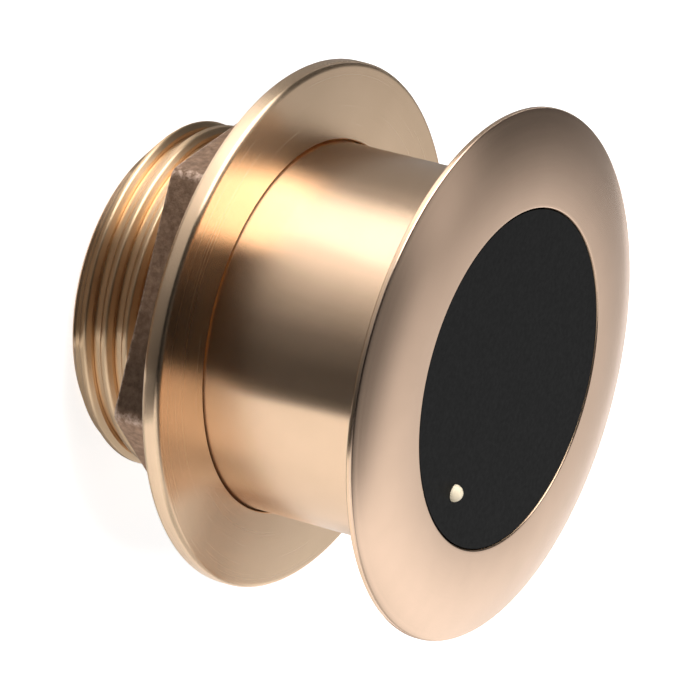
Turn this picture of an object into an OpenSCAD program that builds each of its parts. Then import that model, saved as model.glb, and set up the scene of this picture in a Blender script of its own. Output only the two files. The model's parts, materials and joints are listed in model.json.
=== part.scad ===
// Bronze through-hull sonar transducer: a flanged housing with a threaded stem, its hull nut,
// a black acoustic face and the tilted element, board and inlet that it holds.
// The axis stands upright, the face looks up and the stem's rear rim is at z = 0.

/* [Barrel and stem] */
// Diameter of the smooth barrel, made for the hole in the hull
barrel_d = 60.6; // [50:0.1:80]
// Length of the smooth barrel behind the flange
barrel_l = 35.4; // [30:0.2:60]
// Length of the threaded stem
stem_l = 26.9; // [21:0.1:40]
// Wall of the stem under the thread
stem_wall = 3.3; // [3:0.1:5]
// Chamfer on the rear end of the stem, across the thread
stem_chamfer = 3.4; // [1:0.1:3.6]

/* [Flange] */
// Width that the domed flange stands out past the barrel
flange_w = 12.7; // [9:0.1:20]
// Thickness of the flange at its rim
rim_t = 1.2; // [0.8:0.1:2]
// Radius of the rim's two edges
rim_round = 0.25; // [0.1:0.05:0.35]
// Rise of the dome from the rim to the lip
dome_h = 2.6; // [1.5:0.1:4]
// Width of the flat lip round the face
lip_w = 0.8; // [0.5:0.1:2]

/* [Thread] */
// Step in from the barrel to the crests of the thread
crest_drop = 1.9; // [0.4:0.1:2.5]
// Rise of the right-hand thread in one turn
thread_pitch = 4; // [3:0.25:5]
// Depth of the thread
thread_depth = 1.5; // [0.8:0.1:2]
// Width of the crest
crest_w = 0.9; // [0.4:0.1:1.2]
// Width of the groove's floor between two turns
groove_w = 0.6; // [0.5:0.1:1.2]
// Direction in which the middle of the ridge leaves the rear end
thread_start = 279; // [0:0.5:360]

/* [Hull nut] */
// Width that the nut's round flange stands out past the housing's flange
nut_oversize = 0.2; // [0:0.1:2]
// Thickness of the nut's round flange
nut_flange_t = 3.3; // [2:0.1:6]
// Chamfer on the edges of the nut's flange
nut_chamfer = 0.6; // [0.2:0.1:0.8]
// Wall of the hexagon at the middle of a flat
hex_wall = 5.65; // [4:0.05:8]
// Height of the hexagon
hex_h = 7.7; // [5:0.1:14]
// Turn of the hexagon from a flat that faces -Y
hex_turn = 2.7; // [0:0.1:60]
// Distance from the flange's hull side to the nut's clamping face
grip = 33.8; // [20:0.2:40]
// Gap between the nut and what it slides over
nut_gap = 0.35; // [0.3:0.05:0.6]

/* [Acoustic face] */
// Wall of the housing round the face and its pocket
pocket_wall = 2.9; // [2:0.1:4]
// Depth of the black face under the lip
face_recess = 0.15; // [0.1:0.05:0.6]
// Chamfer of the lip's inner edge
lip_chamfer = 0.3; // [0.1:0.05:0.5]

/* [Temperature sensor] */
// Distance of the button's centre from the edge of the face
button_edge = 6.4; // [5:0.2:9]
// Direction of the button and of the beam's tilt
button_angle = -23.5; // [-180:0.5:180]
// Diameter of the button
button_d = 2.8; // [2:0.1:4]
// Height of the button's round head above the face
button_rise = 1.3; // [1:0.1:2]
// Depth of the button's shank in the face
button_shank = 2.2; // [1.5:0.1:3]
// Diameter of the sensing bead
bead_d = 1.8; // [1.2:0.1:2.2]
// Distance of the bead's leads from the wall of the stem's bore
sensor_lead_edge = 1; // [0.8:0.1:1.4]
// Diameter of each of the bead's leads
sensor_lead_d = 0.6; // [0.3:0.1:0.8]

/* [Element] */
// Tilt of the element from the axis
element_tilt = 12; // [4:0.5:14]
// Width of the cast face between the pocket's wall and the element's sleeve
cast_wall = 5.3; // [4.6:0.1:7]
// Wall of the cork sleeve
sleeve_t = 2; // [1:0.1:2.4]
// Thickness of the ceramic disc
ceramic_t = 8; // [5:0.5:9]
// Thickness of the matching layer
matching_t = 1.8; // [1:0.1:2.5]
// Thickness of the face over the middle of the element
window_t = 6.5; // [5.6:0.1:8]
// Thickness of the backing where it is thinnest
backing_t = 2.8; // [1.5:0.1:5]
// Thickness of the support plate
plate_t = 1.6; // [1:0.1:2.4]
// Distance of the element's two leads from the axis
element_lead_radius = 9; // [5:0.5:12]
// Diameter of the element's leads
element_lead_d = 1.2; // [0.8:0.1:2]

/* [Board] */
// Gap between the edge of the board and the stem's bore
board_gap = 0.5; // [0.3:0.1:1]
// Thickness of the circuit board
board_t = 1.6; // [1:0.1:2.4]
// Length of the posts between the plate and the board
post_l = 7.8; // [5:0.2:10]
// Diameter of the posts
post_d = 4; // [3:0.2:5]
// Distance of the posts from the edge of the board
post_edge = 6; // [4:0.2:7]
// Distance of the chip and of the row of pins from the edge of the board
pin_edge = 9; // [8:0.2:10]
// Gap between the coil and the chip
coil_gap = 2.3; // [1:0.1:4]
// Width of the coil's ring core
core_w = 5; // [3:0.2:6]
// Height of the coil's ring core
core_h = 6; // [4:0.2:7]
// Thickness of the coil's winding
winding_t = 0.7; // [0.4:0.1:1]
// Angle that each half of the winding covers
winding_angle = 150; // [90:5:170]
// Length of the memory chip
chip_l = 5; // [3:0.2:6]
// Width of the memory chip
chip_w = 4; // [3:0.2:6]
// Height of the memory chip
chip_h = 1.5; // [0.8:0.1:2]
// Pins for the cable's cores
pin_count = 5; // [3:1:6]
// Spacing of the pins
pin_step = 2.54; // [2.2:0.01:3]
// Diameter of a pin
pin_d = 1; // [0.6:0.1:1.2]
// Length that a pin stands out of each face of the board
pin_out = 2; // [1:0.1:3]

/* [Rear inlet] */
// Depth of the potting's rear face inside the stem
potting_recess = 2; // [1:0.2:4]
// Thickness of the potting
potting_t = 8; // [5:0.5:10]
// Bore of the grommet for the cable
cable_d = 8; // [6:0.2:10]
// Wall of the cable grommet
grommet_wall = 3.5; // [2:0.1:5]
// Length of the grommet's collar above the potting
collar_l = 2; // [1:0.2:3]
// Width that the collar stands out past the grommet
collar_w = 2; // [1:0.2:3]

/* [Hidden] */
$fn = 96;

// Clearance between pieces that are cast or pressed together
fit = 0.1;
// Overlap that carries a cut past a face
past = 1;

// Radii of the housing, outwards and inwards from the barrel
barrel_r = barrel_d / 2;
flange_r = barrel_r + flange_w;
face_d = barrel_d - 2 * pocket_wall;
lip_r = face_d / 2 + lip_w;
crest_r = barrel_r - crest_drop;
root_r = crest_r - thread_depth;
stem_bore_d = 2 * (root_r - stem_wall);

// Radii of the nut, and the depth of the counterbore that clears the rear end of the barrel
nut_flange_r = flange_r + nut_oversize;
nut_bore_r = crest_r + nut_gap;
counterbore_r = barrel_r + nut_gap;
counterbore_l = max(0, barrel_l - grip) + nut_gap;
hex_r = (nut_bore_r + hex_wall) / cos(30);

// Dome: an arc that is level at the lip and ends where the rim's edge begins
dome_run = flange_r - rim_round - lip_r;
rim_r = lip_r + dome_run;
dome_r = (dome_run * dome_run + dome_h * dome_h) / (2 * dome_h);

// Element: a tilted stack in a sleeve, cast into the face
sleeve_r = face_d / 2 - cast_wall;
element_r = sleeve_r - sleeve_t - fit;
stack_h = matching_t + ceramic_t;
stack_drop = stack_h * cos(element_tilt) + element_r * sin(element_tilt);
cut_size = 4 * flange_r;

// Heights, from the stem's rear rim upwards
hull_z = stem_l + barrel_l;
lip_z = hull_z + rim_t + dome_h;
face_z = lip_z - face_recess;
element_z = face_z - window_t;
plate_z = element_z - stack_drop - backing_t;
ledge_z = plate_z - plate_t;
board_z = ledge_z - post_l - board_t;
nut_top_z = hull_z - grip;
nut_flange_z = nut_top_z - nut_flange_t;
hex_z = nut_flange_z - hex_h;
potting_top_z = potting_recess + potting_t;

// Sensor: the bead hangs under the button's shank
button_radius = face_d / 2 - button_edge;
bead_z = face_z - button_shank - bead_d / 2;
sensor_lead_radius = stem_bore_d / 2 - sensor_lead_edge;

// Board: what stands on it is set in from its edge
board_r = stem_bore_d / 2 - board_gap;
post_radius = board_r - post_edge;
pin_row_y = board_r - pin_edge;
core_r = pin_row_y - chip_w / 2 - coil_gap - winding_t;
core_hole_r = core_r - core_w;

// Inlet
grommet_d = cable_d + 2 * grommet_wall;

// Thread: a ridge of trapezoid section that winds up the root from below the rear end and fades out on top
ridge_w = thread_pitch - groove_w;
sink_share = 0.1;
ridge_foot_w = ridge_w + sink_share * (ridge_w - crest_w);
ridge_foot_r = root_r - sink_share * thread_depth;
turn_steps = 40;
ridge_steps = floor(stem_l / thread_pitch * turn_steps);
fade_steps = turn_steps / 4;
fade_low_r = root_r - sink_share * thread_depth / 2;

function polar(radius, angle, z) = [radius * cos(angle), radius * sin(angle), z];

// Share of its full depth that the ridge has at a step along the thread
function ridge_share(step) = min(1, (ridge_steps - step) / fade_steps);

// Four corners of the ridge's section at a step along the thread
function ridge_corners(step) =
    let (
        z = thread_pitch * step / turn_steps - ridge_foot_w / 2,
        angle = thread_start + 360 * z / thread_pitch,
        top_r = fade_low_r + (crest_r - fade_low_r) * ridge_share(step)
    )
    [
        polar(ridge_foot_r, angle, z - ridge_foot_w / 2),
        polar(top_r, angle, z - crest_w / 2),
        polar(top_r, angle, z + crest_w / 2),
        polar(ridge_foot_r, angle, z + ridge_foot_w / 2)
    ];

module thread_ridge() {
    points = [for (step = [0 : ridge_steps]) each ridge_corners(step)];
    last = 4 * ridge_steps;
    sides = [
        for (step = [0 : ridge_steps - 1])
        for (side = [0 : 3])
        let (a = 4 * step + side, b = 4 * step + (side + 1) % 4)
        each [[a, b, b + 4], [a, b + 4, a + 4]]
    ];
    ends = [[3, 2, 1, 0], [last, last + 1, last + 2, last + 3]];
    polyhedron(points, concat(sides, ends));
}

// Moves what is drawn about the middle of the element's front to its tilted place
module tilted() {
    translate([0, 0, element_z])
        rotate([0, 0, button_angle])
        rotate([0, element_tilt, 0])
        children();
}

// Column along the tilted axis, from a depth behind the element's front to past the plate
module tilted_column(r, depth) {
    tilted()
        translate([0, 0, -cut_size])
        cylinder(r = r, h = cut_size - depth);
}

// Everything below a level
module below(z) {
    translate([-cut_size / 2, -cut_size / 2, z - cut_size])
        cube(cut_size);
}

// Round wire from one point to another
module wire(from, to, d) {
    run = to - from;
    translate(from)
        rotate([0, acos(run[2] / norm(run)), atan2(run[1], run[0])])
        cylinder(d = d, h = norm(run));
}

// Two leads of the bead: out from the bead's side, round a bend and down to a level
module sensor_lead_pair(d, low_z) {
    start = button_radius + bead_d / 2;
    for (side = [-1, 1]) {
        spread = side * bead_d / 4;
        rotate([0, 0, button_angle]) {
            wire([start, spread, bead_z], [sensor_lead_radius, spread, bead_z], d);
            translate([sensor_lead_radius, spread, bead_z])
                sphere(d = d);
            wire([sensor_lead_radius, spread, low_z], [sensor_lead_radius, spread, bead_z], d);
        }
    }
}

// Upright rods on either side of the axis, from the board to past the ceramic's back
module element_lead_pair(d) {
    for (side = [-1, 1])
        translate([0, side * element_lead_radius, board_z + board_t])
            cylinder(d = d, h = element_z - board_z);
}

module at_posts() {
    for (turn = [0 : 120 : 240])
        rotate([0, 0, button_angle + 60 + turn])
            translate([post_radius, 0, 0])
            children();
}

module at_pins() {
    for (pin = [0 : pin_count - 1])
        translate([(pin - (pin_count - 1) / 2) * pin_step, pin_row_y, 0])
            children();
}

// Half section of the flange: level to the lip, then domed to a rim with rounded edges
module flange_section() {
    translate([0, hull_z])
        square([lip_r, rim_t + dome_h]);
    translate([0, hull_z])
        square([rim_r, rim_t]);
    translate([0, hull_z + rim_round])
        square([flange_r, rim_t - 2 * rim_round]);
    intersection() {
        translate([lip_r - past, hull_z])
            square([dome_run + past, rim_t + dome_h]);
        translate([lip_r, lip_z - dome_r])
            circle(r = dome_r);
    }
    for (z = [rim_round, rim_t - rim_round])
        translate([rim_r, hull_z + z])
            circle(r = rim_round);
}

// Stem with its thread, both cut by the chamfer of the rear end
module stem() {
    reach = crest_r + past;
    cone_h = stem_chamfer + past;
    intersection() {
        union() {
            translate([0, 0, -past])
                cylinder(r = root_r, h = stem_l + 2 * past);
            thread_ridge();
        }
        union() {
            cylinder(r1 = crest_r - stem_chamfer, r2 = reach, h = cone_h);
            translate([0, 0, cone_h])
                cylinder(r = reach, h = stem_l);
        }
    }
}

module housing() {
    color("darkgoldenrod") {
        difference() {
            union() {
                rotate_extrude()
                    flange_section();
                translate([0, 0, stem_l])
                    cylinder(d = barrel_d, h = barrel_l + past);
                stem();
            }
            translate([0, 0, -past])
                cylinder(d = stem_bore_d, h = ledge_z + 2 * past);
            translate([0, 0, ledge_z])
                cylinder(d = face_d, h = lip_z - ledge_z + past);
            translate([0, 0, lip_z - lip_chamfer])
                cylinder(d1 = face_d, d2 = face_d + 2 * lip_chamfer, h = lip_chamfer);
        }
    }
}

// Nut with its clamping flange towards the hull and its hexagon behind
module hull_nut() {
    inner_r = nut_flange_r - nut_chamfer;
    color("goldenrod")
        difference() {
            union() {
                translate([0, 0, nut_flange_z])
                    cylinder(r1 = inner_r, r2 = nut_flange_r, h = nut_chamfer);
                translate([0, 0, nut_flange_z + nut_chamfer])
                    cylinder(r = nut_flange_r, h = nut_flange_t - 2 * nut_chamfer);
                translate([0, 0, nut_top_z - nut_chamfer])
                    cylinder(r1 = nut_flange_r, r2 = inner_r, h = nut_chamfer);
                translate([0, 0, hex_z])
                    rotate([0, 0, hex_turn])
                    cylinder(r = hex_r, h = hex_h + nut_chamfer, $fn = 6);
            }
            translate([0, 0, hex_z - past])
                cylinder(r = nut_bore_r, h = hex_h + nut_flange_t + 2 * past);
            translate([0, 0, nut_top_z - counterbore_l])
                cylinder(r = counterbore_r, h = counterbore_l + past);
        }
}

// Cast face that fills the pocket round the tilted element
module acoustic_window() {
    color("#262626")
        difference() {
            translate([0, 0, plate_z])
                cylinder(d = face_d - 2 * fit, h = face_z - plate_z);
            tilted_column(sleeve_r + fit, 0);
            rotate([0, 0, button_angle])
                translate([button_radius, 0, bead_z - bead_d / 2 - fit])
                cylinder(d = button_d + 2 * fit, h = face_z - bead_z + bead_d);
            sensor_lead_pair(sensor_lead_d + 2 * fit, plate_z - past);
        }
}

module sensor_button() {
    dome = button_d / 2;
    color("wheat")
        rotate([0, 0, button_angle])
        translate([button_radius, 0, 0]) {
            translate([0, 0, face_z - button_shank])
                cylinder(d = button_d, h = button_shank + button_rise - dome);
            intersection() {
                translate([0, 0, face_z + button_rise - dome])
                    sphere(r = dome);
                translate([0, 0, face_z + button_rise - dome])
                    cylinder(r = dome + past, h = dome + past);
            }
        }
}

module sensor_bead() {
    color("black")
        rotate([0, 0, button_angle])
        translate([button_radius, 0, bead_z])
        sphere(d = bead_d);
}

module sensor_leads() {
    color("red")
        sensor_lead_pair(sensor_lead_d, board_z + board_t);
}

module matching_layer() {
    color("slategray")
        tilted()
        translate([0, 0, -matching_t])
        cylinder(r = element_r, h = matching_t);
}

module ceramic_element() {
    color("ivory")
        tilted()
        translate([0, 0, -stack_h])
        cylinder(r = element_r, h = ceramic_t);
}

module isolation_sleeve() {
    color("peru")
        difference() {
            tilted_column(sleeve_r, 0);
            tilted_column(element_r + fit, -past);
            below(plate_z);
        }
}

module backing_block() {
    color("tan")
        difference() {
            tilted_column(element_r, stack_h);
            below(plate_z);
            element_lead_pair(element_lead_d + 2 * fit);
        }
}

module support_plate() {
    color("olivedrab")
        difference() {
            translate([0, 0, ledge_z])
                cylinder(d = face_d - 2 * fit, h = plate_t);
            element_lead_pair(element_lead_d + 2 * fit);
            sensor_lead_pair(sensor_lead_d + 2 * fit, ledge_z - past);
        }
}

module board_posts() {
    color("gold")
        at_posts()
        translate([0, 0, board_z + board_t])
        cylinder(d = post_d, h = post_l);
}

module circuit_board() {
    color("darkgreen")
        difference() {
            translate([0, 0, board_z])
                cylinder(r = board_r, h = board_t);
            at_pins()
                translate([0, 0, board_z - past])
                cylinder(d = pin_d + 2 * fit, h = board_t + 2 * past);
        }
}

module coil_core() {
    color("dimgray")
        translate([0, 0, board_z - winding_t - core_h])
        difference() {
            cylinder(r = core_r, h = core_h);
            translate([0, 0, -past])
                cylinder(r = core_hole_r, h = core_h + 2 * past);
        }
}

// Two halves of winding, each a hollow ring sector round the core's section
module coil_winding() {
    color("chocolate")
        for (half = [0, 180])
            rotate([0, 0, half - winding_angle / 2])
                rotate_extrude(angle = winding_angle)
                difference() {
                    translate([core_hole_r - winding_t, board_z - 2 * winding_t - core_h])
                        square([core_w + 2 * winding_t, core_h + 2 * winding_t]);
                    translate([core_hole_r, board_z - winding_t - core_h])
                        square([core_w, core_h]);
                }
}

module id_chip() {
    color("black")
        translate([-chip_l / 2, -pin_row_y - chip_w / 2, board_z - chip_h])
        cube([chip_l, chip_w, chip_h]);
}

module terminal_pins() {
    color("silver")
        at_pins()
        translate([0, 0, board_z - pin_out])
        cylinder(d = pin_d, h = board_t + 2 * pin_out);
}

// Leads that end on the tilted back of the ceramic
module element_leads() {
    color("firebrick")
        difference() {
            element_lead_pair(element_lead_d);
            tilted()
                translate([-cut_size / 2, -cut_size / 2, -stack_h])
                cube(cut_size);
        }
}

module rear_potting() {
    color("#303030")
        difference() {
            translate([0, 0, potting_recess])
                cylinder(d = stem_bore_d - 2 * fit, h = potting_t);
            translate([0, 0, potting_recess - past])
                cylinder(d = grommet_d + 2 * fit, h = potting_t + 2 * past);
        }
}

// Rubber sleeve through the potting, with a collar that keeps it from pulling out
module cable_grommet() {
    color("#1c1c1c")
        difference() {
            union() {
                translate([0, 0, potting_recess])
                    cylinder(d = grommet_d, h = potting_t + collar_l);
                translate([0, 0, potting_top_z])
                    cylinder(d = grommet_d + 2 * collar_w, h = collar_l);
            }
            translate([0, 0, potting_recess - past])
                cylinder(d = cable_d, h = potting_t + collar_l + 2 * past);
        }
}

housing();
hull_nut();
acoustic_window();
sensor_button();
sensor_bead();
sensor_leads();
matching_layer();
ceramic_element();
isolation_sleeve();
backing_block();
support_plate();
board_posts();
circuit_board();
coil_core();
coil_winding();
id_chip();
terminal_pins();
element_leads();
rear_potting();
cable_grommet();
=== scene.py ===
import json
import math

import bmesh
import bpy
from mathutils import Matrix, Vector


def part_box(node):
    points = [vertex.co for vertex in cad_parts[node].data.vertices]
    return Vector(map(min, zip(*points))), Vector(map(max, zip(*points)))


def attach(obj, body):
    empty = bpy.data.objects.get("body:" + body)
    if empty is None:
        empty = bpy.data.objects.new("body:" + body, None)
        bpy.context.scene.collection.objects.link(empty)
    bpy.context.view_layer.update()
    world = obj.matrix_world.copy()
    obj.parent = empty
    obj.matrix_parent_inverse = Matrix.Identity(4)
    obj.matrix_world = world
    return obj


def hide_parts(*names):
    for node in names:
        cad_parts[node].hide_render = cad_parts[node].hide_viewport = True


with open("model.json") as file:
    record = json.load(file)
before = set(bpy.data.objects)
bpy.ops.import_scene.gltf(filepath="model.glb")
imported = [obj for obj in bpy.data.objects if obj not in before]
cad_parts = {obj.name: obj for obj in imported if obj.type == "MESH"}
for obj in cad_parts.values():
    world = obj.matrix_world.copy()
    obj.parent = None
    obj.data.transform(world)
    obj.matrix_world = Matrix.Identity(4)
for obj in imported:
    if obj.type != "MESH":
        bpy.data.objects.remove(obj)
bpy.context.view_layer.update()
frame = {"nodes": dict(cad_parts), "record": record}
mm = 0.001
hair = 0.01 * mm  # slack for comparing places
mounts = {mount["name"]: Vector(mount["pos_m"]) for mount in frame["record"]["mounts"]}
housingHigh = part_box("housing")[1]
nutLow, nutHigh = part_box("hull_nut")
buttonLow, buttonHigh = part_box("sensor_button")
hullZ = mounts["hull_face"].z  # underside of the flange


# camera: the picture is rolled, so the upright axis lies across it

view = {
    "sensor": 36,  # mm
    "lens": 276.5,  # mm
    "aimHeight": 0.6 * mm,  # middle of the flange's rim, above its underside
    "distance": 0.84376,  # from the flange, along the line of sight
    "elevation": 28.66,
    "roll": 104.8,
    "right": 0.0225,  # how far right of the middle the flange's centre lies
    "down": 0.00396,
}


def pictureAxes():
    tilt = math.radians(view["elevation"])
    turn = math.radians(view["roll"])
    forward = Vector((0, math.cos(tilt), -math.sin(tilt)))
    level = Vector((1, 0, 0))
    upright = level.cross(forward)
    right = level * math.cos(turn) + upright * math.sin(turn)
    return right, right.cross(forward), forward


pictureRight, pictureUp, pictureForward = pictureAxes()


def addCamera():
    data = bpy.data.cameras.new("camera")
    data.sensor_width = view["sensor"]
    data.lens = view["lens"]
    data.clip_start = 0.01
    data.clip_end = 20
    camera = bpy.data.objects.new("camera", data)
    bpy.context.collection.objects.link(camera)
    rimCentre = Vector((0, 0, hullZ + view["aimHeight"]))
    aim = rimCentre - pictureRight * view["right"] + pictureUp * view["down"]
    place = aim - pictureForward * view["distance"]
    matrix = camera.matrix_world.copy()
    for row in range(3):
        matrix[row][0] = pictureRight[row]
        matrix[row][1] = pictureUp[row]
        matrix[row][2] = -pictureForward[row]
        matrix[row][3] = place[row]
    camera.matrix_world = matrix
    bpy.context.scene.camera = camera


addCamera()
print("camera placed")


# shader helpers

noiseLow, noiseHigh = 0.3, 0.7  # nearly all values of a noise lie between these


def newMaterial(name):
    material = bpy.data.materials.new(name)
    material.use_nodes = True
    nodes = material.node_tree.nodes
    return material, nodes, material.node_tree.links, nodes["Principled BSDF"]


def mathNode(nodes, links, operation, first, second=None):
    node = nodes.new("ShaderNodeMath")
    node.operation = operation
    for socket, value in zip(node.inputs, (first, second)):
        if value is None:
            continue
        if isinstance(value, (int, float)):
            socket.default_value = value
        else:
            links.new(value, socket)
    return node.outputs[0]


def noiseNode(nodes, links, vector, scale, detail=3.0, roughness=0.5):
    node = nodes.new("ShaderNodeTexNoise")
    node.inputs["Scale"].default_value = scale
    node.inputs["Detail"].default_value = detail
    node.inputs["Roughness"].default_value = roughness
    links.new(vector, node.inputs["Vector"])
    return node


def rampNode(nodes, links, value, stops):
    node = nodes.new("ShaderNodeValToRGB")
    while len(node.color_ramp.elements) < len(stops):
        node.color_ramp.elements.new(0.5)
    for element, (place, colour) in zip(node.color_ramp.elements, stops):
        element.position = place
        element.color = (*colour, 1)
    links.new(value, node.inputs["Fac"])
    return node.outputs["Color"]


def rangeNode(nodes, links, value, low, high, fromLow=0.0, fromHigh=1.0):
    node = nodes.new("ShaderNodeMapRange")
    span = {"From Min": fromLow, "From Max": fromHigh, "To Min": low, "To Max": high}
    for socket, number in span.items():
        node.inputs[socket].default_value = number
    links.new(value, node.inputs["Value"])
    return node.outputs["Result"]


def bumpNode(nodes, links, height, strength, distance):
    node = nodes.new("ShaderNodeBump")
    node.inputs["Strength"].default_value = strength
    node.inputs["Distance"].default_value = distance
    links.new(height, node.inputs["Height"])
    return node.outputs["Normal"]


# turned bronze: fine lines round the axis, which stretch every reflection along the barrel

def turnedBronze(name, look):
    material, nodes, links, shader = newMaterial(name)
    coord = nodes.new("ShaderNodeTexCoord").outputs["Object"]
    split = nodes.new("ShaderNodeSeparateXYZ")
    links.new(coord, split.inputs[0])
    x, y, z = split.outputs

    def times(value, factor):
        return mathNode(nodes, links, "MULTIPLY", value, factor)

    radius = mathNode(nodes, links, "SQRT", mathNode(nodes, links, "ADD", times(x, x), times(y, y)))
    lines = nodes.new("ShaderNodeCombineXYZ")  # lines repeat across radius and height, and drift slowly round
    links.new(times(radius, look["lines"]), lines.inputs[0])
    links.new(times(z, look["lines"]), lines.inputs[1])
    links.new(times(x, look["drift"]), lines.inputs[2])
    turned = noiseNode(nodes, links, lines.outputs[0], 1.0, 4.0, 0.65)
    turned.noise_dimensions = "4D"
    links.new(times(y, look["drift"]), turned.inputs["W"])
    fine = turned.outputs["Fac"]
    cloud = noiseNode(nodes, links, coord, look["cloud"], 3.0, 0.6).outputs["Fac"]
    lineShare = look["lineShare"]
    tone = mathNode(nodes, links, "ADD", times(fine, lineShare), times(cloud, 1 - lineShare))
    colour = rampNode(nodes, links, tone, [(noiseLow, look["deep"]), (noiseHigh, look["pale"])])
    links.new(colour, shader.inputs["Base Color"])
    gloss = rangeNode(nodes, links, fine, look["smooth"], look["rough"], noiseLow, noiseHigh)
    links.new(gloss, shader.inputs["Roughness"])
    links.new(bumpNode(nodes, links, fine, look["lineBump"], look["lineDepth"]), shader.inputs["Normal"])
    shader.inputs["Metallic"].default_value = 1.0
    shader.inputs["Anisotropic"].default_value = look["stretch"]
    shader.inputs["Anisotropic Rotation"].default_value = 0.25  # across the lines
    tangent = nodes.new("ShaderNodeTangent")
    tangent.direction_type = "UV_MAP"
    tangent.uv_map = "turning"
    links.new(tangent.outputs[0], shader.inputs["Tangent"])
    return material


bronzeLook = {
    "deep": (0.84, 0.595, 0.4),
    "pale": (0.92, 0.655, 0.455),
    "lines": 5200,
    "drift": 12,
    "cloud": 70,
    "smooth": 0.25,
    "rough": 0.27,
    "lineShare": 0.3,  # of the tone, the rest is cloud
    "lineBump": 0.012,
    "lineDepth": 0.03 * mm,
    "stretch": 0.93,
}
domeLook = dict(
    bronzeLook, deep=(0.84, 0.6, 0.44), pale=(0.92, 0.66, 0.49),
    smooth=0.22, rough=0.25, stretch=0.4)
nutLook = dict(
    bronzeLook, deep=(0.83, 0.6, 0.4), pale=(0.91, 0.665, 0.455),
    smooth=0.265, rough=0.275, lineBump=0.004, stretch=0.92)
threadLook = dict(
    bronzeLook, deep=(0.73, 0.52, 0.32), pale=(0.82, 0.59, 0.38),
    smooth=0.27, rough=0.32, lineBump=0.006, stretch=0.5)
rearLook = dict(
    bronzeLook, deep=(0.52, 0.36, 0.23), pale=(0.64, 0.455, 0.3),
    smooth=0.42, rough=0.5, stretch=0.0)
housingBronze = turnedBronze("turnedBronze", bronzeLook)
domeBronze = turnedBronze("domeBronze", domeLook)
nutBronze = turnedBronze("nutBronze", nutLook)
threadBronze = turnedBronze("threadBronze", threadLook)
rearBronze = turnedBronze("rearBronze", rearLook)


# cast bronze: dull brown skin with pits and pale specks, worn bright along the edges, with painted shading
# along x

castLook = {
    "brown": (0.215, 0.132, 0.085),
    "dust": (0.4, 0.262, 0.178),
    "worn": (0.66, 0.5, 0.405),
    "grain": 900,
    "pits": 2600,
    "pitShare": 0.5,
    "bump": 0.5,
    "bumpDepth": 0.2 * mm,
    "skinRough": 0.6,
    "wornRough": 0.48,
    "skinMetal": 0.8,
    "paintedShadingReach": 40,
    # painted shading of the skin along x, in mm and within that reach: the front flat is painted darker
    # towards its end, and the skin beyond 21.6 mm brighter
    "paintedShading": [(0, 1.0), (14, 0.5), (19.6, 0.5), (21.6, 1.5)],
}


def castBronze(look):
    material, nodes, links, shader = newMaterial("castBronze")
    coord = nodes.new("ShaderNodeTexCoord").outputs["Object"]
    grain = noiseNode(nodes, links, coord, look["grain"], 5.0, 0.65).outputs["Fac"]
    pits = noiseNode(nodes, links, coord, look["pits"], 2.0, 0.5).outputs["Fac"]
    skin = rampNode(nodes, links, grain, [(0.35, look["brown"]), (0.72, look["dust"])])
    split = nodes.new("ShaderNodeSeparateXYZ")
    links.new(coord, split.inputs[0])
    # painted shading: the skin's tone is scaled by a ramp along x, darker towards the front flat's end
    shadedSkin = nodes.new("ShaderNodeVectorMath")
    shadedSkin.operation = "SCALE"
    links.new(skin, shadedSkin.inputs[0])
    reach = look["paintedShadingReach"]
    share = rangeNode(nodes, links, split.outputs[0], 0.0, 1.0, -reach * mm, reach * mm)
    stops = [(0.5 + x / (2 * reach), (tone,) * 3) for x, tone in look["paintedShading"]]
    links.new(rampNode(nodes, links, share, stops), shadedSkin.inputs["Scale"])
    wear = nodes.new("ShaderNodeAttribute")
    wear.attribute_name = "wear"
    patchy = rangeNode(nodes, links, grain, 0.2, 1.6, 0.35, 0.65)  # wear spares the grain's hollows
    worn = mathNode(nodes, links, "MULTIPLY", wear.outputs["Fac"], patchy)
    wornSoft = rangeNode(nodes, links, worn, 0.0, 1.0, 0.25, 0.9)
    mix = nodes.new("ShaderNodeMix")
    mix.data_type = "RGBA"
    links.new(wornSoft, mix.inputs["Factor"])
    links.new(shadedSkin.outputs[0], mix.inputs["A"])
    mix.inputs["B"].default_value = (*look["worn"], 1)
    links.new(mix.outputs["Result"], shader.inputs["Base Color"])
    gloss = rangeNode(nodes, links, wornSoft, look["skinRough"], look["wornRough"])
    links.new(gloss, shader.inputs["Roughness"])
    links.new(rangeNode(nodes, links, wornSoft, look["skinMetal"], 1.0), shader.inputs["Metallic"])
    pitted = mathNode(nodes, links, "MULTIPLY", pits, look["pitShare"])
    relief = mathNode(nodes, links, "ADD", grain, pitted)
    links.new(bumpNode(nodes, links, relief, look["bump"], look["bumpDepth"]), shader.inputs["Normal"])
    return material


roughBronze = castBronze(castLook)


# plainer materials: one colour with a fine grain in tone, gloss and relief

glossSpread = 0.06  # of the roughness, either way
grainDepth = 0.1 * mm


def grainedMaterial(name, look):
    material, nodes, links, shader = newMaterial(name)
    coord = nodes.new("ShaderNodeTexCoord").outputs["Object"]
    grain = noiseNode(nodes, links, coord, look["grain"], 4.0, 0.6).outputs["Fac"]
    deep = tuple(channel * (1 - look["spread"]) for channel in look["colour"])
    pale = tuple(min(1, channel * (1 + look["spread"])) for channel in look["colour"])
    colour = rampNode(nodes, links, grain, [(noiseLow, deep), (noiseHigh, pale)])
    links.new(colour, shader.inputs["Base Color"])
    smooth, rough = look["rough"] - glossSpread, look["rough"] + glossSpread
    gloss = rangeNode(nodes, links, grain, smooth, rough, noiseLow, noiseHigh)
    links.new(gloss, shader.inputs["Roughness"])
    links.new(bumpNode(nodes, links, grain, look["bump"], grainDepth), shader.inputs["Normal"])
    shader.inputs["Metallic"].default_value = look.get("metal", 0.0)
    shader.inputs["Specular IOR Level"].default_value = look.get("specular", 0.5)
    return material


# pieces

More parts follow.
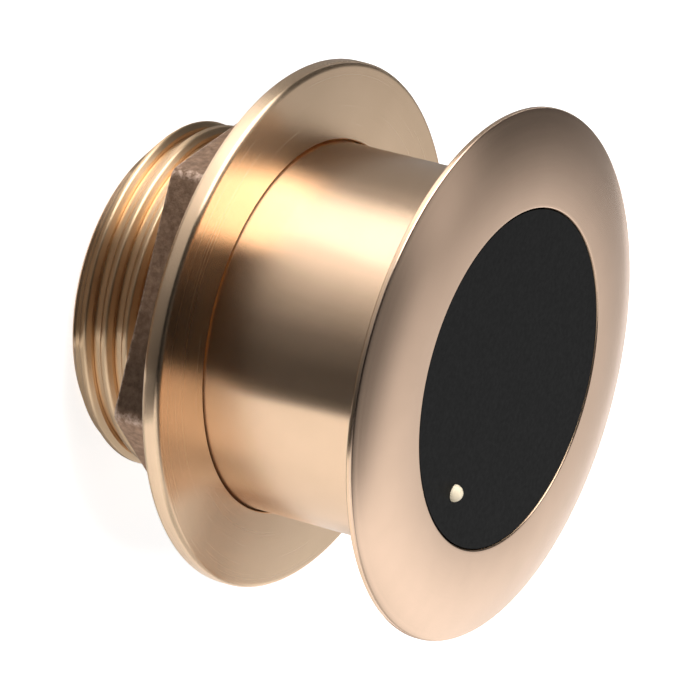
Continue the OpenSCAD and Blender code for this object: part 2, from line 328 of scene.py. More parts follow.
def finishMesh(name, bm, materials, sharpAngle=32):
    bmesh.ops.remove_doubles(bm, verts=bm.verts, dist=1e-7)
    bmesh.ops.recalc_face_normals(bm, faces=bm.faces)
    mesh = bpy.data.meshes.new(name)
    bm.to_mesh(mesh)
    bm.free()
    for material in materials:
        mesh.materials.append(material)
    mesh.polygons.foreach_set("use_smooth", [True] * len(mesh.polygons))
    mesh.set_sharp_from_angle(angle=math.radians(sharpAngle))
    piece = bpy.data.objects.new(name, mesh)
    bpy.context.collection.objects.link(piece)
    return piece


def arc(centre, radius, start, end, steps):
    points = []
    for step in range(steps + 1):
        angle = math.radians(start + (end - start) * step / steps)
        points.append((centre[0] + radius * math.cos(angle), centre[1] + radius * math.sin(angle)))
    return points


# closed outline of (radius, height) points, turned round the axis, with u round and v along the outline
def turnOutline(bm, outline, segments, slotOf=None):
    turning = bm.loops.layers.uv.get("turning") or bm.loops.layers.uv.new("turning")
    rings = []
    for step in range(segments):
        angle = 2 * math.pi * step / segments
        rings.append([bm.verts.new((r * math.cos(angle), r * math.sin(angle), z)) for r, z in outline])
    along = [0.0]
    for (r0, z0), (r1, z1) in zip(outline, outline[1:] + outline[:1]):
        along.append(along[-1] + math.hypot(r1 - r0, z1 - z0))
    count = len(outline)
    for step in range(segments):
        here, there = rings[step], rings[(step + 1) % segments]
        for index in range(count):
            follow = (index + 1) % count
            corners = (here[index], there[index], there[follow], here[follow])
            face = bm.faces.new(corners)
            spots = ((step, index), (step + 1, index), (step + 1, index + 1), (step, index + 1))
            for loop, (turnStep, spot) in zip(face.loops, spots):
                loop[turning].uv = (turnStep / segments, along[spot] / along[-1])
            if slotOf:
                face.material_index = slotOf(outline[index], outline[follow])


# reads a geometry node tree's result back as a plain mesh
def bakeNodes(piece, tree, values):
    modifier = piece.modifiers.new(tree.name, "NODES")
    modifier.node_group = tree
    for item in tree.interface.items_tree:
        if item.in_out == "INPUT" and item.name in values:
            modifier[item.identifier] = values[item.name]
    depsgraph = bpy.context.evaluated_depsgraph_get()
    mesh = bpy.data.meshes.new_from_object(piece.evaluated_get(depsgraph))
    piece.modifiers.remove(modifier)
    return mesh


def newTree(name, sockets):
    tree = bpy.data.node_groups.new(name, "GeometryNodeTree")
    tree.interface.new_socket("Geometry", in_out="INPUT", socket_type="NodeSocketGeometry")
    for label, kind in sockets:
        tree.interface.new_socket(label, in_out="INPUT", socket_type=kind)
    tree.interface.new_socket("Geometry", in_out="OUTPUT", socket_type="NodeSocketGeometry")
    return tree, tree.nodes.new("NodeGroupInput"), tree.nodes.new("NodeGroupOutput")


# housing: flange, barrel and stem in one turned outline, and the thread's ridge wound on the stem

housing = {
    "barrel": 30.3 * mm,
    "face": 27.4 * mm,
    "lip": 0.8 * mm,
    "lipInset": 0.4 * mm,  # from the black face to where the lip's top begins
    "lipRound": 0.25 * mm,
    "lipDrop": 0.6 * mm,
    "rim": 1.2 * mm,
    "rimRound": 0.42 * mm,
    "stemRoot": 26.9 * mm,
    "stemBore": 23.6 * mm,
    "stemLength": 26.9 * mm,
    "rearRim": 25 * mm,  # a chamfer leads from here out to the thread's crest
    "rearGap": 0.05 * mm,  # the ridge stays this far above the stem's end
    "chamferGap": 0.03 * mm,  # and this far inside the chamfer
    "shoulder": 0.4 * mm,
    "fillet": 0.5 * mm,
    "ledge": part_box("support_plate")[0].z,
    "barrelRows": 12,
    "segments": 256,
}
housingSlots = {"barrel": 0, "dome": 1, "thread": 2, "pocket": 3}
thread = {
    "Pitch": 4 * mm,
    "Start Angle": math.radians(114.75),
    "Start Height": -1.825 * mm,
    "End Height": 25.075 * mm,
    "Depth": 1.5 * mm,
    "Sink": 0.15 * mm,
    "Crest Width": 0.9 * mm,
    "Foot Width": 3.65 * mm,
    "Edge Radius": 0.5 * mm,
    "Steps Per Turn": 120,
}


def housingOutline():
    size = housing
    top = housingHigh.z
    edge = housingHigh.x - size["rimRound"]
    lipEdge = size["face"] + size["lip"]
    run = edge - lipEdge
    rise = top - hullZ - size["rim"]
    domeRadius = (run * run + rise * rise) / (2 * rise)
    slope = math.degrees(math.asin(run / domeRadius))
    shoulderZ = size["stemLength"]
    lipInner = size["face"] + size["lipInset"]
    chamferTop = size["stemRoot"] - size["rearRim"]
    outline = [(size["stemBore"], 0), (size["rearRim"], 0), (size["stemRoot"], chamferTop)]
    outline += [(size["stemRoot"], shoulderZ), (size["barrel"] - size["shoulder"], shoulderZ)]
    outline += [(size["barrel"], shoulderZ + size["shoulder"])]
    rows = size["barrelRows"]
    outline += [(size["barrel"], shoulderZ + (hullZ - shoulderZ) * row / rows) for row in range(1, rows)]
    outline += arc((size["barrel"] + size["fillet"], hullZ - size["fillet"]), size["fillet"], 180, 90, 6)
    outline += arc((edge, hullZ + size["rimRound"]), size["rimRound"], -90, 0, 5)
    outline += arc((edge, hullZ + size["rim"] - size["rimRound"]), size["rimRound"], 0, 90 - slope, 5)
    outline += arc((lipEdge, top - domeRadius), domeRadius, 90 - slope, 90, 28)[1:]
    outline += [(lipInner, top)]
    outline += arc((lipInner, top - size["lipRound"]), size["lipRound"], 90, 150, 5)[1:]
    outline += [(size["face"], top - size["lipDrop"]), (size["face"], size["ledge"])]
    outline += [(size["stemBore"], size["ledge"])]
    return outline


def threadTree():
    lengths = ["Root Radius"] + [label for label in thread if label != "Steps Per Turn"]
    sockets = [(label, "NodeSocketFloat") for label in lengths]
    sockets += [("Steps Per Turn", "NodeSocketInt"), ("Material", "NodeSocketMaterial")]
    tree, given, result = newTree("threadRidge", sockets)
    nodes, links = tree.nodes, tree.links
    into = given.outputs
    length = mathNode(nodes, links, "SUBTRACT", into["End Height"], into["Start Height"])
    turns = mathNode(nodes, links, "DIVIDE", length, into["Pitch"])
    spiral = nodes.new("GeometryNodeCurveSpiral")
    spiral.inputs["Reverse"].default_value = True  # right-hand
    links.new(turns, spiral.inputs["Rotations"])
    links.new(into["Steps Per Turn"], spiral.inputs["Resolution"])
    links.new(into["Root Radius"], spiral.inputs["Start Radius"])
    links.new(into["Root Radius"], spiral.inputs["End Radius"])
    links.new(length, spiral.inputs["Height"])
    spot = nodes.new("ShaderNodeCombineXYZ")
    links.new(into["Start Height"], spot.inputs[2])
    turn = nodes.new("ShaderNodeCombineXYZ")
    links.new(into["Start Angle"], turn.inputs[2])
    place = nodes.new("GeometryNodeTransform")
    links.new(spiral.outputs[0], place.inputs["Geometry"])
    links.new(spot.outputs[0], place.inputs["Translation"])
    links.new(turn.outputs[0], place.inputs["Rotation"])
    upright = nodes.new("GeometryNodeSetCurveNormal")
    upright.mode = "Z_UP"
    links.new(place.outputs[0], upright.inputs["Curve"])
    section = nodes.new("GeometryNodeCurvePrimitiveQuadrilateral")
    section.mode = "TRAPEZOID"
    tall = mathNode(nodes, links, "ADD", into["Depth"], into["Sink"])
    links.new(tall, section.inputs["Height"])
    links.new(into["Foot Width"], section.inputs["Bottom Width"])
    links.new(into["Crest Width"], section.inputs["Top Width"])
    section.inputs["Offset"].default_value = 0
    soften = nodes.new("GeometryNodeFilletCurve")
    soften.mode = "POLY"
    soften.inputs["Count"].default_value = 2
    links.new(section.outputs[0], soften.inputs["Curve"])
    links.new(into["Edge Radius"], soften.inputs["Radius"])
    divide = nodes.new("GeometryNodeSubdivideCurve")  # points on the flanks, for the rear chamfer to cut
    divide.inputs["Cuts"].default_value = 3
    links.new(soften.outputs[0], divide.inputs["Curve"])
    lay = nodes.new("GeometryNodeTransform")  # crest outwards, root sunk into the stem
    lay.inputs["Rotation"].default_value = (0, 0, -math.pi / 2)
    links.new(divide.outputs[0], lay.inputs["Geometry"])
    half = mathNode(nodes, links, "MULTIPLY", tall, 0.5)
    shift = nodes.new("ShaderNodeCombineXYZ")
    links.new(mathNode(nodes, links, "SUBTRACT", half, into["Sink"]), shift.inputs[0])
    links.new(shift.outputs[0], lay.inputs["Translation"])
    share = nodes.new("GeometryNodeSplineParameter").outputs["Factor"]
    left = mathNode(nodes, links, "MULTIPLY", mathNode(nodes, links, "SUBTRACT", 1.0, share), turns)
    fadeTurns, leastSize = 0.25, 0.02  # the ridge shrinks away over its last quarter turn
    quarter = mathNode(nodes, links, "DIVIDE", left, fadeTurns)
    fade = mathNode(nodes, links, "MAXIMUM", mathNode(nodes, links, "MINIMUM", quarter, 1.0), leastSize)
    sweep = nodes.new("GeometryNodeCurveToMesh")
    sweep.inputs["Fill Caps"].default_value = True
    links.new(upright.outputs[0], sweep.inputs["Curve"])
    links.new(lay.outputs[0], sweep.inputs["Profile Curve"])
    links.new(fade, sweep.inputs["Scale"])
    whole = nodes.new("GeometryNodeRealizeInstances")
    links.new(sweep.outputs[0], whole.inputs["Geometry"])
    finish = nodes.new("GeometryNodeSetMaterial")
    links.new(whole.outputs[0], finish.inputs["Geometry"])
    links.new(into["Material"], finish.inputs["Material"])
    links.new(finish.outputs[0], result.inputs[0])
    return tree


# holds the ridge's first turns inside the chamfer of the stem's rear end
def cutBack(vert):
    vert.co.z = max(vert.co.z, housing["rearGap"])
    limit = housing["rearRim"] + vert.co.z
    if limit < housing["stemRoot"]:
        limit -= housing["chamferGap"]
    reach = vert.co.xy.length
    if reach > limit:
        vert.co.x *= limit / reach
        vert.co.y *= limit / reach


def buildHousing():
    bm = bmesh.new()
    domeFrom = hullZ + housing["rim"] / 2
    pocketReach = housing["face"] + housing["lipInset"] / 2

    def slotOf(first, second):
        reach, high = max(first[0], second[0]), max(first[1], second[1])
        if high < housing["stemLength"] + hair:
            return housingSlots["thread"]
        # the pocket wall inside the lip takes the darker rear bronze: painted shade in that recess
        if reach < pocketReach and high > housing["ledge"] + hair:
            return housingSlots["pocket"]
        onDome = min(first[1], second[1]) > domeFrom and first[0] > pocketReach
        return housingSlots["dome" if onDome else "barrel"]

    turnOutline(bm, housingOutline(), housing["segments"], slotOf)
    carrier = bpy.data.objects.new("threadCarrier", bpy.data.meshes.new("threadCarrier"))
    bpy.context.collection.objects.link(carrier)
    sizes = dict(thread, Material=threadBronze)
    sizes["Root Radius"] = housing["stemRoot"]
    ridge = bakeNodes(carrier, threadTree(), sizes)
    bpy.data.objects.remove(carrier)
    known = len(bm.faces)
    bm.from_mesh(ridge)
    bm.faces.ensure_lookup_table()
    turning = bm.loops.layers.uv["turning"]
    for vert in {vert for face in bm.faces[known:] for vert in face.verts}:
        cutBack(vert)
    riseScale, reachScale = 20, 5  # v grows up the stem and outward
    for face in bm.faces[known:]:  # the ridge takes its lines round the axis too
        face.material_index = housingSlots["thread"]
        centre = face.calc_center_median()
        middle = math.atan2(centre.y, centre.x)
        for loop in face.loops:
            angle = math.atan2(loop.vert.co.y, loop.vert.co.x)
            angle = middle + math.remainder(angle - middle, 2 * math.pi)
            along = loop.vert.co.z * riseScale + loop.vert.co.xy.length * reachScale
            loop[turning].uv = (angle / (2 * math.pi), along)
    piece = finishMesh("bronzeHousing", bm, [housingBronze, domeBronze, threadBronze, rearBronze])
    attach(piece, "body")
    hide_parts("housing")


buildHousing()
print("housing turned and threaded")


# hull nut: turned flange disc with a dull, non-metal brown counterbore that is painted light in the thin gap
# round the barrel, and a hexagon whose flats are left rough

nut = {
    "bore": 28.75 * mm,
    "counterbore": 30.65 * mm,
    "counterDepth": 1.95 * mm,
    "counterChamfer": 0.12 * mm,
    "flangeThick": 3.3 * mm,
    "edgeRound": 0.9 * mm,
    "across": 68.8 * mm,
    "turn": math.radians(2.7),
    "corner": 0.3 * mm,
    "blend": 0.12 * mm,
    "edge": 0.45 * mm,
    "edgeSteps": 4,
    "cornerWear": 0.8 * mm,  # reach of the worn metal from the corners
    "rearWear": 0.7 * mm,  # and from the rear face
    "rearFade": 1.0 * mm,  # the rough skin fades towards the rear edge
    "flangeFade": 0.4 * mm,  # and towards the flange
    "around": 720,
    "rows": 26,
    "segments": 256,
    "sharpAngle": 28,
}
# the counterbore's slot, dull, takes a plain non-metal brown that is painted light, lifting the thin gap line
# round the barrel from black to brown
nutSlots = {"turned": 0, "cast": 1, "rear": 2, "dull": 3}
gapLightLook = {"colour": (0.66, 0.42, 0.19), "spread": 0.1, "grain": 900, "rough": 0.6, "bump": 0.05}
gapLightBronze = grainedMaterial("gapLightBronze", gapLightLook)
castSurface = {"Depth": 0.11 * mm, "Grain": 520.0, "Fine Depth": 0.04 * mm, "Fine Grain": 1700.0}


# distance from the axis to a hexagon with softened corners
def hexRadius(angle):
    apothem = nut["across"] / 2
    toFlat = math.remainder(angle - nut["turn"] - math.pi / 6, math.pi / 3)
    flat = apothem / math.cos(toFlat)
    corner = apothem / math.cos(math.pi / 6) - nut["corner"]
    blend = nut["blend"]
    return min(flat, corner) - blend * math.log(1 + math.exp(-abs(flat - corner) / blend))


def castTree():
    sockets = [(label, "NodeSocketFloat") for label in castSurface]
    tree, given, result = newTree("castSurface", sockets + [("Material", "NodeSocketMaterial")])
    nodes, links = tree.nodes, tree.links
    spot = nodes.new("GeometryNodeInputPosition").outputs[0]
    mask = nodes.new("GeometryNodeInputNamedAttribute")
    mask.data_type = "FLOAT"
    mask.inputs["Name"].default_value = "cast"
    relief = None
    for depth, grain in (("Depth", "Grain"), ("Fine Depth", "Fine Grain")):
        bumps = noiseNode(nodes, links, spot, 1.0, 2.0, 0.55)
        links.new(given.outputs[grain], bumps.inputs["Scale"])
        centred = mathNode(nodes, links, "SUBTRACT", bumps.outputs[0], 0.5)
        swing = mathNode(nodes, links, "MULTIPLY", centred, 2.0)
        height = mathNode(nodes, links, "MULTIPLY", swing, given.outputs[depth])
        relief = height if relief is None else mathNode(nodes, links, "ADD", relief, height)
    relief = mathNode(nodes, links, "MULTIPLY", relief, mask.outputs["Attribute"])
    push = nodes.new("ShaderNodeVectorMath")
    push.operation = "SCALE"
    links.new(nodes.new("GeometryNodeInputNormal").outputs[0], push.inputs[0])
    links.new(relief, push.inputs["Scale"])
    move = nodes.new("GeometryNodeSetPosition")
    links.new(given.outputs["Geometry"], move.inputs["Geometry"])
    links.new(push.outputs[0], move.inputs["Offset"])
    whole = nodes.new("GeometryNodeRealizeInstances")
    links.new(move.outputs[0], whole.inputs["Geometry"])
    flats = nodes.new("GeometryNodeMaterialSelection")
    links.new(given.outputs["Material"], flats.inputs["Material"])
    finish = nodes.new("GeometryNodeSetMaterial")
    links.new(whole.outputs[0], finish.inputs["Geometry"])
    links.new(flats.outputs[0], finish.inputs["Selection"])
    links.new(given.outputs["Material"], finish.inputs["Material"])
    links.new(finish.outputs[0], result.inputs[0])
    return tree


def discOutline():
    low, high, edge = nutHigh.z - nut["flangeThick"], nutHigh.z, nutHigh.x
    bore, wide, cut, chamfer = nut["bore"], nut["counterbore"], nut["edgeRound"], nut["counterChamfer"]
    outline = [(bore, low), (edge - cut, low)]
    outline += arc((edge - cut, low + cut), cut, -90, 0, 8)[1:]
    outline += arc((edge - cut, high - cut), cut, 0, 90, 8)
    outline += [(wide + chamfer, high), (wide, high - chamfer)]
    outline += [(wide, high - nut["counterDepth"]), (bore, high - nut["counterDepth"])]
    return outline


# side wall of the hexagon with rounded rear edge, its rear face and its bore
def addHexagon(bm):
    turning = bm.loops.layers.uv["turning"]
    cast = bm.verts.layers.float.new("cast")
    wear = bm.verts.layers.float.new("wear")
    low, high = nutLow.z, nutHigh.z - nut["flangeThick"]
    bore, edge, around, rows = nut["bore"], nut["edge"], nut["around"], nut["rows"]
    angles = [2 * math.pi * step / around for step in range(around)]
    levels = []
    for step in range(nut["edgeSteps"] + 1):
        bend = math.pi / 2 * step / nut["edgeSteps"]
        levels.append((low + edge - edge * math.cos(bend), edge - edge * math.sin(bend)))
    levels += [(low + edge + (high - low - edge) * row / rows, 0.0) for row in range(1, rows + 1)]
    cornerRadius = nut["across"] / 2 / math.cos(math.pi / 6)
    rings = []
    for z, inset in levels:
        skin = min(1, max(0, (z - low - edge / 2) / nut["rearFade"])) * min(1, (high - z) / nut["flangeFade"])
        nearRear = max(0, 1 - (z - low) / nut["rearWear"])
        ring = []
        for angle in angles:
            outer = hexRadius(angle)
            radius = outer - inset
            vert = bm.verts.new((radius * math.cos(angle), radius * math.sin(angle), z))
            nearCorner = max(0, 1 - (cornerRadius - outer) / nut["cornerWear"])
            vert[wear] = min(1, nearCorner + nearRear)
            vert[cast] = skin
            ring.append(vert)
        rings.append(ring)
    boreRings = []
    for z in (low, high):
        ring = [bm.verts.new((bore * math.cos(angle), bore * math.sin(angle), z)) for angle in angles]
        boreRings.append(ring)
    alongScale = 10  # v grows outward and up

    def band(first, second, slot):
        for step in range(around):
            follow = (step + 1) % around
            face = bm.faces.new((first[step], first[follow], second[follow], second[step]))
            face.material_index = nutSlots[slot]
            for loop, turnStep in zip(face.loops, (step, step + 1, step + 1, step)):
                along = (loop.vert.co.xy.length + loop.vert.co.z) * alongScale
                loop[turning].uv = (turnStep / around, along)

    for first, second in zip(rings, rings[1:]):
        band(first, second, "cast")
    band(boreRings[0], rings[0], "rear")
    band(rings[-1], boreRings[1], "rear")
    band(boreRings[1], boreRings[0], "turned")


def buildNut():
    bm = bmesh.new()
    low = nutHigh.z - nut["flangeThick"]

    def slotOf(first, second):
        inCounterbore = max(first[0], second[0]) < nut["counterbore"] + hair
        if inCounterbore and min(first[1], second[1]) > low + hair:
            return nutSlots["dull"]
        return nutSlots["rear" if max(first[1], second[1]) < low + hair else "turned"]

    turnOutline(bm, discOutline(), nut["segments"], slotOf)
    addHexagon(bm)
    materials = [nutBronze, roughBronze, rearBronze, gapLightBronze]
    rough = finishMesh("hullNutBlank", bm, materials, nut["sharpAngle"])
    mesh = bakeNodes(rough, castTree(), dict(castSurface, Material=roughBronze))
    bpy.data.objects.remove(rough)
    mesh.name = "hullNut"
    piece = bpy.data.objects.new("hullNut", mesh)
    bpy.context.collection.objects.link(piece)
    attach(piece, "nut")
    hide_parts("hull_nut")


buildNut()
print("hull nut made")


# sensor button: shank with a round head

button = {
    "centre": (buttonLow + buttonHigh) / 2,
    "radius": (buttonHigh.x - buttonLow.x) / 2,
    "pole": 1e-6,  # start of the outline at the axis, closed by merging
    "merge": 4e-6,
    "topAngle": 89.9,
    "capSteps": 14,
    "segments": 64,
}


def buildButton(material):
    bm = bmesh.new()
    radius, centre = button["radius"], button["centre"]
    spring = buttonHigh.z - radius
    outline = [(button["pole"], buttonLow.z), (radius, buttonLow.z), (radius, spring)]
    outline += arc((0, spring), radius, 0, button["topAngle"], button["capSteps"])[1:]
    turnOutline(bm, outline, button["segments"])
    bmesh.ops.translate(bm, verts=bm.verts, vec=(centre.x, centre.y, 0))
    bmesh.ops.remove_doubles(bm, verts=bm.verts, dist=button["merge"])
    piece = finishMesh("sensorButtonHead", bm, [material])
    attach(piece, "body")
    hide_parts("sensor_button")


buttonLook = {"colour": (0.97, 0.84, 0.62), "spread": 0.03, "grain": 900, "rough": 0.5, "bump": 0.05}
buildButton(grainedMaterial("paleButton", buttonLook))
print("button set")


# finishes of the solids that stay as they are

leadCover = dict(colour=(0.5, 0.03, 0.02), spread=0.1, grain=900, rough=0.4, bump=0.04)
finishes = {
    "acoustic_window": dict(colour=(0.0054, 0.0054, 0.0054), spread=0.12, grain=1400,
                            rough=0.55, bump=0.05, specular=0.12),
    "sensor_bead": dict(colour=(0.03, 0.03, 0.03), spread=0.2, grain=1500, rough=0.25, bump=0.02),
    "sensor_leads": leadCover,
    "matching_layer": dict(colour=(0.2, 0.23, 0.26), spread=0.2, grain=1100, rough=0.6, bump=0.2),
    "ceramic_element": dict(colour=(0.72, 0.68, 0.56), spread=0.08, grain=600, rough=0.45, bump=0.08),
    "isolation_sleeve": dict(colour=(0.36, 0.2, 0.095), spread=0.45, grain=420, rough=0.85, bump=0.6),
    "backing_block": dict(colour=(0.45, 0.34, 0.2), spread=0.2, grain=800, rough=0.8, bump=0.35),
    "support_plate": dict(colour=(0.05, 0.16, 0.07), spread=0.2, grain=700, rough=0.5, bump=0.1),
    "board_posts": dict(colour=(0.75, 0.5, 0.16), spread=0.1, grain=900, rough=0.3, bump=0.05, metal=1.0),
    "circuit_board": dict(colour=(0.02, 0.13, 0.05), spread=0.15, grain=700, rough=0.4, bump=0.05),
    "coil_core": dict(colour=(0.03, 0.03, 0.033), spread=0.2, grain=1200, rough=0.55, bump=0.15),
    "coil_winding": dict(colour=(0.62, 0.24, 0.1), spread=0.25, grain=1300, rough=0.3, bump=0.3, metal=1.0),
    "id_chip": dict(colour=(0.012, 0.012, 0.012), spread=0.2, grain=1500, rough=0.5, bump=0.1),
    "terminal_pins": dict(colour=(0.68, 0.68, 0.7), spread=0.06, grain=900, rough=0.3, bump=0.03, metal=1.0),
    "element_leads": leadCover,
    "rear_potting": dict(colour=(0.014, 0.014, 0.016), spread=0.25, grain=350, rough=0.38, bump=0.12),
    "cable_grommet": dict(colour=(0.012, 0.012, 0.012), spread=0.2, grain=1500, rough=0.7, bump=0.15),
}
for node, look in finishes.items():
    solid = frame["nodes"][node]
    material = grainedMaterial(node + "Finish", look)
    solid.data.materials.clear()
    solid.data.materials.append(material)
print("solids finished", len(finishes))


# studio: white floor in a dim room with soft lights, and graded dark cards round the part and in its gaps,
# painted shade that shows in reflections alone

def flat(value):
    return [(0.0, value), (1.0, value)]


studio = {
    "floor": {"size": 6, "drop": 0.1 * mm, "grain": 40.0, "tones": (0.86, 0.88)},
    "floorLift": 0.72,
    "mirrorLift": 0.445,  # share of that lift in reflections
    "room": 0.006,
    # each soft panel fades in from the first to the second value of a direction's x, y or z
    "panels": {
        "back": {"x": (-0.40, 0.36), "y": (0.0, 0.3), "z": (0.90, 0.74), "level": 1.12},
        "shade": {"x": (0.34, 0.48), "y": (0.0, 0.3), "z": (0.90, 0.74), "level": -0.6},
        "patch": {"x": (-0.10, -0.24), "y": (0.3, 0.5), "z": (0.64, 0.78), "level": 0.4},
        "haze": {"y": (0.0, 0.4), "level": 0.07},
        "right": {"x": (0.58, 0.72), "y": (0.25, -0.05), "z": (0.85, 0.65), "level": 1.0},
        "left": {"x": (-0.47, -0.64), "y": (0.24, -0.16), "z": (0.72, 0.6), "level": 4.2},
        "ceiling": {"z": (0.6, 0.95), "level": 0.06},
    },
    "key": {"toward": (-0.1, -0.5, 0.86), "angle": 18, "strength": 1.5},
    "strip": {"angle": 56, "reach": 0.085, "width": 0.038, "height": 0.05, "level": 0.72},
    "cardLift": 0.5 * mm,
    "cardSteps": 24,
    # dark cards, seen in reflections alone, are painted shade in what the metal mirrors; their inner ends
    # under the stem stand in for the floor's shade beneath the part: cover along a card and across it, and
    # tone across it
    "cards": {
        "frontCard": {
            "near": 0.066, "far": 2.5, "start": -45.2, "stop": 38,
            "along": [(0.0, 0.0), (0.05, 1.0), (0.3, 0.97), (0.5, 0.87),
                      (0.68, 0.6), (0.88, 0.14), (1.0, 0.0)],
            "across": flat(1.0),
            "tone": [(0.0, 0.12), (0.01, 0.1), (0.025, 0.03), (1.0, 0.02)],
        },
        "stemCard": {
            "near": 0.0245, "far": 0.066, "start": -29, "stop": 40,
            "along": [(0.0, 0.0), (0.06, 0.94), (0.6, 0.94), (0.8, 0.6), (1.0, 0.0)],
            "across": flat(1.0),
            "tone": flat(0.13), "tint": (1.0, 0.66, 0.38),
        },
        "edgeCard": {
            "near": 0.0245, "far": 0.03, "start": 26, "stop": 75,
            "along": [(0.0, 0.0), (0.2, 0.85), (0.8, 0.85), (1.0, 0.0)],
            "across": [(0.0, 1.0), (0.7, 1.0), (1.0, 0.0)],
            "tone": flat(0.06),
        },
        "sideCard": {
            "near": 0.0245, "far": 0.08, "start": -120, "stop": -28,
            "along": [(0.0, 0.0), (0.15, 0.5), (0.97, 0.5), (1.0, 0.0)],
            "across": [(0.0, 1.0), (0.6, 1.0), (1.0, 0.0)],
            "tone": flat(0.1),
        },
        "backCard": {
            "near": 0.0245, "far": 0.5, "start": 66, "stop": 165,
            "along": [(0.0, 0.0), (0.06, 0.3), (0.14, 0.7), (0.27, 0.76), (0.9, 0.78), (1.0, 0.3)],
            "across": flat(1.0),
            "tone": flat(0.05),
        },
        # painted shade under the flange, in the gap between nut and flange
        "flangeCard": {
            "near": 0.0318, "far": 0.0428, "start": -40, "stop": 46, "height": hullZ - 0.5 * mm,
            "along": [(0.0, 0.0), (0.1, 1.0), (0.4, 1.0), (0.62, 0.35), (0.85, 0.0), (1.0, 0.0)],
            "across": flat(1.0),
            "tone": flat(0.02),
        },
        # painted shade, tinted warm, standing beside the barrel in the gap between nut and flange
        "veil": {
            "left": 0.024, "right": 0.07, "behind": 0.02,
            "low": nutHigh.z + 0.2 * mm, "high": hullZ - 1.8 * mm,
            "along": [(0.0, 0.0), (0.08, 0.7), (0.2, 0.7), (0.28, 0.55),
                      (0.42, 0.45), (0.6, 0.75), (0.8, 0.75), (1.0, 0.0)],
            "across": [(0.0, 0.0), (0.12, 0.2), (0.3, 0.6), (0.5, 1.0), (0.9, 1.0), (1.0, 0.0)],
            "tone": flat(0.35), "tint": (1.0, 0.55, 0.25),
        },
    },
}


def addFloor():
    look = studio["floor"]
    bpy.ops.mesh.primitive_plane_add(size=look["size"], location=(0, 0, -look["drop"]))
    floor = bpy.context.object
    floor.name = "floor"
    material, nodes, links, shader = newMaterial("floorWhite")
    coord = nodes.new("ShaderNodeTexCoord").outputs["Object"]
    grain = noiseNode(nodes, links, coord, look["grain"]).outputs["Fac"]
    stops = [(place, (tone,) * 3) for place, tone in zip((noiseLow, noiseHigh), look["tones"])]
    links.new(rampNode(nodes, links, grain, stops), shader.inputs["Base Color"])
    shader.inputs["Roughness"].default_value = 0.9
    shader.inputs["Specular IOR Level"].default_value = 0.0
    path = nodes.new("ShaderNodeLightPath")
    glossy, through = path.outputs["Is Glossy Ray"], path.outputs["Is Transmission Ray"]
    mirrored = mathNode(nodes, links, "MAXIMUM", glossy, through)
    dimmed = mathNode(nodes, links, "MULTIPLY", mirrored, studio["mirrorLift"])
    seen = mathNode(nodes, links, "MAXIMUM", path.outputs["Is Camera Ray"], dimmed)
    shader.inputs["Emission Color"].default_value = (1, 1, 1, 1)
    lift = mathNode(nodes, links, "MULTIPLY", seen, studio["floorLift"])
    links.new(lift, shader.inputs["Emission Strength"])
    floor.data.materials.append(material)


def addRoom():
    world = bpy.data.worlds.new("studioRoom")
    bpy.context.scene.world = world
    world.use_nodes = True
    nodes, links = world.node_tree.nodes, world.node_tree.links
    split = nodes.new("ShaderNodeSeparateXYZ")
    links.new(nodes.new("ShaderNodeTexCoord").outputs["Generated"], split.inputs[0])
    total = studio["room"]
    for panel in studio["panels"].values():
        light = panel["level"]
        for axis, output in zip("xyz", split.outputs):
            if axis in panel:
                soft = nodes.new("ShaderNodeMapRange")
                soft.interpolation_type = "SMOOTHSTEP"
                soft.inputs["From Min"].default_value, soft.inputs["From Max"].default_value = panel[axis]
                links.new(output, soft.inputs["Value"])
                light = mathNode(nodes, links, "MULTIPLY", soft.outputs["Result"], light)
        total = mathNode(nodes, links, "ADD", light, total)
    nodes["Background"].inputs["Color"].default_value = (1, 1, 1, 1)
    links.new(total, nodes["Background"].inputs["Strength"])


def addKey():
    data = bpy.data.lights.new("key", "SUN")
    data.energy = studio["key"]["strength"]
    data.angle = math.radians(studio["key"]["angle"])
    light = bpy.data.objects.new("key", data)
    bpy.context.collection.objects.link(light)
    light.rotation_euler = Vector(studio["key"]["toward"]).to_track_quat("Z", "Y").to_euler()
    light.visible_glossy = False


# angles of cards and strip run from the camera's side towards the left
def onFloor(angle, reach, height):
    turn = math.radians(angle)
    return Vector((-reach * math.sin(turn), -reach * math.cos(turn), height))


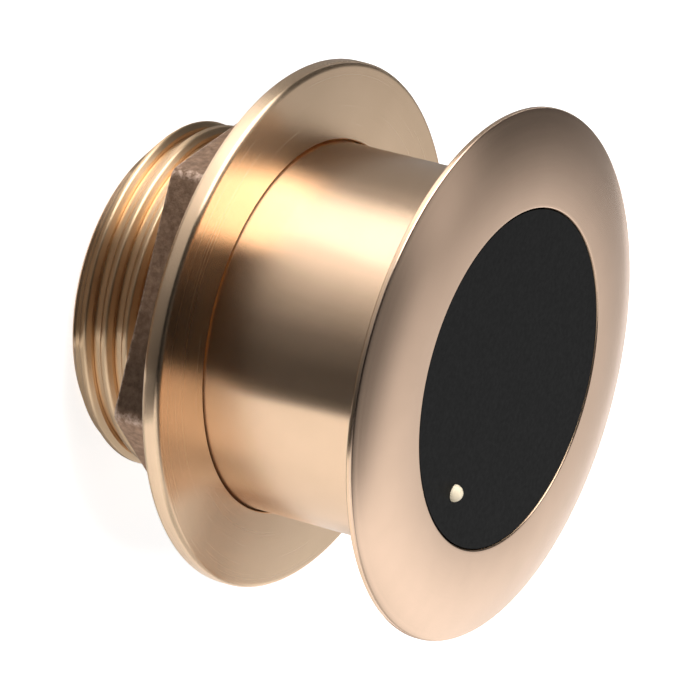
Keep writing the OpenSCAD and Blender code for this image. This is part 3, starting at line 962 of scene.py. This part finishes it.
def addStrip():
    strip = studio["strip"]
    data = bpy.data.lights.new("strip", "AREA")
    data.shape = "RECTANGLE"
    data.size, data.size_y = strip["width"], strip["height"]
    data.energy = strip["level"] * math.pi * strip["width"] * strip["height"]
    light = bpy.data.objects.new("strip", data)
    bpy.context.collection.objects.link(light)
    light.location = onFloor(strip["angle"], strip["reach"], strip["height"] / 2)
    light.rotation_euler = onFloor(strip["angle"], -1, 0).to_track_quat("-Z", "Z").to_euler()
    light.visible_camera = False


# pairs of points along a card: sectors lie flat, the veil stands beside the barrel
def cardRows(size, steps):
    for step in range(steps + 1):
        share = step / steps
        if "behind" in size:
            x = size["left"] + (size["right"] - size["left"]) * share
            yield [Vector((x, size["behind"], height)) for height in (size["low"], size["high"])]
        else:
            angle = size["start"] + (size["stop"] - size["start"]) * share
            height = size.get("height", studio["cardLift"])
            yield [onFloor(angle, reach, height) for reach in (size["near"], size["far"])]


def addCard(name, size):
    bm = bmesh.new()
    spread = bm.loops.layers.uv.new("spread")
    steps = studio["cardSteps"]
    rows = [[bm.verts.new(point) for point in pair] for pair in cardRows(size, steps)]
    for step in range(steps):
        face = bm.faces.new((rows[step][0], rows[step][1], rows[step + 1][1], rows[step + 1][0]))
        spots = ((step, 0), (step, 1), (step + 1, 1), (step + 1, 0))
        for loop, (along, across) in zip(face.loops, spots):
            loop[spread].uv = (along / steps, across)
    material, nodes, links, shader = newMaterial(name + "Dark")
    shader.inputs["Roughness"].default_value = 0.9
    shader.inputs["Specular IOR Level"].default_value = 0.0
    place = nodes.new("ShaderNodeUVMap")
    place.uv_map = "spread"
    split = nodes.new("ShaderNodeSeparateXYZ")
    links.new(place.outputs[0], split.inputs[0])

    def graded(output, stops):
        return rampNode(nodes, links, output, [(spot, (value,) * 3) for spot, value in stops])

    along, across = split.outputs[0], split.outputs[1]
    cover = mathNode(nodes, links, "MULTIPLY", graded(along, size["along"]), graded(across, size["across"]))
    links.new(cover, shader.inputs["Alpha"])
    tint = size.get("tint", (1, 1, 1))
    tones = [(spot, tuple(value * channel for channel in tint)) for spot, value in size["tone"]]
    links.new(rampNode(nodes, links, across, tones), shader.inputs["Base Color"])
    card = finishMesh(name, bm, [material])
    card.visible_camera = False
    card.visible_shadow = False
    card.visible_diffuse = False


addFloor()
addRoom()
addKey()
addStrip()
for name, size in studio["cards"].items():
    addCard(name, size)
bpy.context.scene.view_settings.view_transform = "Standard"
print("studio lit")
